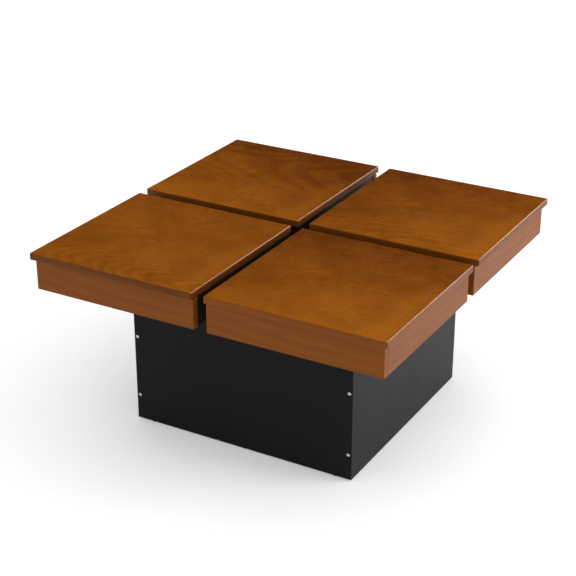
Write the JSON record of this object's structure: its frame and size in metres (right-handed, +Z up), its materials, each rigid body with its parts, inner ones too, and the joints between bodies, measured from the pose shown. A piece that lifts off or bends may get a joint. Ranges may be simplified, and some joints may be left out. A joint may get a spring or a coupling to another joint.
{
  "type": "lift top coffee table",
  "caption": "Square coffee table whose top is split by a cross-shaped gap into lift-up lids on parallel arms, each over a storage tray, on a black panel base.",
  "frame": {"origin": "on the floor, under the middle of the table", "axes": "+Z up; +X to the right along the front edge; the front faces -Y"},
  "size_m": [0.828, 0.828, 0.43],
  "materials": {
    "cherry_veneer_top": "satin lacquered cherry-coloured veneer",
    "cherry_veneer_board": "satin lacquered cherry-coloured veneer",
    "black_laminate": "black satin melamine on chipboard",
    "black_steel": "black powder coat",
    "zinc_steel": "bright zinc plate",
    "spring_steel": "drawn spring wire",
    "bumper_rubber": "matte",
    "glide_plastic": "moulded nylon"
  },
  "bodies": {
    "root": {"front_left_springs": "spring_steel", "front_left_hinge_brackets": "black_steel", "front_left_face_board": "cherry_veneer_board", "front_left_side_board": "cherry_veneer_board", "front_left_inner_walls": "black_laminate", "front_left_tray_bottom": "black_laminate", "front_right_springs": "spring_steel", "front_right_hinge_brackets": "black_steel", "front_right_face_board": "cherry_veneer_board", "front_right_side_board": "cherry_veneer_board", "front_right_inner_walls": "black_laminate", "front_right_tray_bottom": "black_laminate", "back_left_springs": "spring_steel", "back_left_hinge_brackets": "black_steel", "back_left_face_board": "cherry_veneer_board", "back_left_side_board": "cherry_veneer_board", "back_left_inner_walls": "black_laminate", "back_left_tray_bottom": "black_laminate", "back_right_springs": "spring_steel", "back_right_hinge_brackets": "black_steel", "back_right_face_board": "cherry_veneer_board", "back_right_side_board": "cherry_veneer_board", "back_right_inner_walls": "black_laminate", "back_right_tray_bottom": "black_laminate", "bracket_rivets": "zinc_steel", "bracket_pins": "zinc_steel", "bracket_screws": "zinc_steel", "tray_screws": "zinc_steel", "rim_bumpers": "bumper_rubber", "base_front_panel": "black_laminate", "base_back_panel": "black_laminate", "base_left_panel": "black_laminate", "base_right_panel": "black_laminate", "base_top_panel": "black_laminate", "base_screws": "zinc_steel", "floor_glides": "glide_plastic"},
    "front_left_lid": {"front_left_lid": "cherry_veneer_top", "front_left_lid_brackets": "black_steel", "front_left_lid_screws": "zinc_steel", "front_left_lid_rivets": "zinc_steel"},
    "front_left_front_arms": {"front_left_front_arms": "black_steel"},
    "front_left_rear_arms": {"front_left_rear_arms": "black_steel"},
    "front_right_lid": {"front_right_lid": "cherry_veneer_top", "front_right_lid_brackets": "black_steel", "front_right_lid_screws": "zinc_steel", "front_right_lid_rivets": "zinc_steel"},
    "front_right_front_arms": {"front_right_front_arms": "black_steel"},
    "front_right_rear_arms": {"front_right_rear_arms": "black_steel"},
    "back_left_lid": {"back_left_lid": "cherry_veneer_top", "back_left_lid_brackets": "black_steel", "back_left_lid_screws": "zinc_steel", "back_left_lid_rivets": "zinc_steel"},
    "back_left_front_arms": {"back_left_front_arms": "black_steel"},
    "back_left_rear_arms": {"back_left_rear_arms": "black_steel"},
    "back_right_lid": {"back_right_lid": "cherry_veneer_top", "back_right_lid_brackets": "black_steel", "back_right_lid_screws": "zinc_steel", "back_right_lid_rivets": "zinc_steel"},
    "back_right_front_arms": {"back_right_front_arms": "black_steel"},
    "back_right_rear_arms": {"back_right_rear_arms": "black_steel"}
  },
  "joints": [
    {"name": "front_left_lift", "type": "hinge", "parent": "root", "child": "front_left_front_arms", "pos_m": [-0.211, -0.319, 0.391], "axis": [1, 0, 0], "range_deg": [0, 110], "deforming": ["front_left_springs"]},
    {"name": "front_left_lid_pivot", "type": "hinge", "parent": "front_left_front_arms", "child": "front_left_lid", "pos_m": [-0.211, -0.149, 0.391], "axis": [1, 0, 0], "range_deg": [-110, 0]},
    {"name": "front_left_rear_arm_pivot", "type": "hinge", "parent": "root", "child": "front_left_rear_arms", "pos_m": [-0.211, -0.239, 0.369], "axis": [1, 0, 0], "range_deg": [0, 110]},
    {"name": "front_right_lift", "type": "hinge", "parent": "root", "child": "front_right_front_arms", "pos_m": [0.211, -0.319, 0.391], "axis": [1, 0, 0], "range_deg": [0, 110], "deforming": ["front_right_springs"]},
    {"name": "front_right_lid_pivot", "type": "hinge", "parent": "front_right_front_arms", "child": "front_right_lid", "pos_m": [0.211, -0.149, 0.391], "axis": [1, 0, 0], "range_deg": [-110, 0]},
    {"name": "front_right_rear_arm_pivot", "type": "hinge", "parent": "root", "child": "front_right_rear_arms", "pos_m": [0.211, -0.239, 0.369], "axis": [1, 0, 0], "range_deg": [0, 110]},
    {"name": "back_left_lift", "type": "hinge", "parent": "root", "child": "back_left_front_arms", "pos_m": [-0.211, 0.319, 0.391], "axis": [-1, 0, 0], "range_deg": [0, 110], "deforming": ["back_left_springs"]},
    {"name": "back_left_lid_pivot", "type": "hinge", "parent": "back_left_front_arms", "child": "back_left_lid", "pos_m": [-0.211, 0.149, 0.391], "axis": [-1, 0, 0], "range_deg": [-110, 0]},
    {"name": "back_left_rear_arm_pivot", "type": "hinge", "parent": "root", "child": "back_left_rear_arms", "pos_m": [-0.211, 0.239, 0.369], "axis": [-1, 0, 0], "range_deg": [0, 110]},
    {"name": "back_right_lift", "type": "hinge", "parent": "root", "child": "back_right_front_arms", "pos_m": [0.211, 0.319, 0.391], "axis": [-1, 0, 0], "range_deg": [0, 110], "deforming": ["back_right_springs"]},
    {"name": "back_right_lid_pivot", "type": "hinge", "parent": "back_right_front_arms", "child": "back_right_lid", "pos_m": [0.211, 0.149, 0.391], "axis": [-1, 0, 0], "range_deg": [-110, 0]},
    {"name": "back_right_rear_arm_pivot", "type": "hinge", "parent": "root", "child": "back_right_rear_arms", "pos_m": [0.211, 0.239, 0.369], "axis": [-1, 0, 0], "range_deg": [0, 110]}
  ],
  "couplings": [
    {"joint": "front_left_lid_pivot", "follows": "front_left_lift", "ratio": -1},
    {"joint": "front_left_rear_arm_pivot", "follows": "front_left_lift", "ratio": 1},
    {"joint": "front_right_lid_pivot", "follows": "front_right_lift", "ratio": -1},
    {"joint": "front_right_rear_arm_pivot", "follows": "front_right_lift", "ratio": 1},
    {"joint": "back_left_lid_pivot", "follows": "back_left_lift", "ratio": -1},
    {"joint": "back_left_rear_arm_pivot", "follows": "back_left_lift", "ratio": 1},
    {"joint": "back_right_lid_pivot", "follows": "back_right_lift", "ratio": -1},
    {"joint": "back_right_rear_arm_pivot", "follows": "back_right_lift", "ratio": 1}
  ]
}
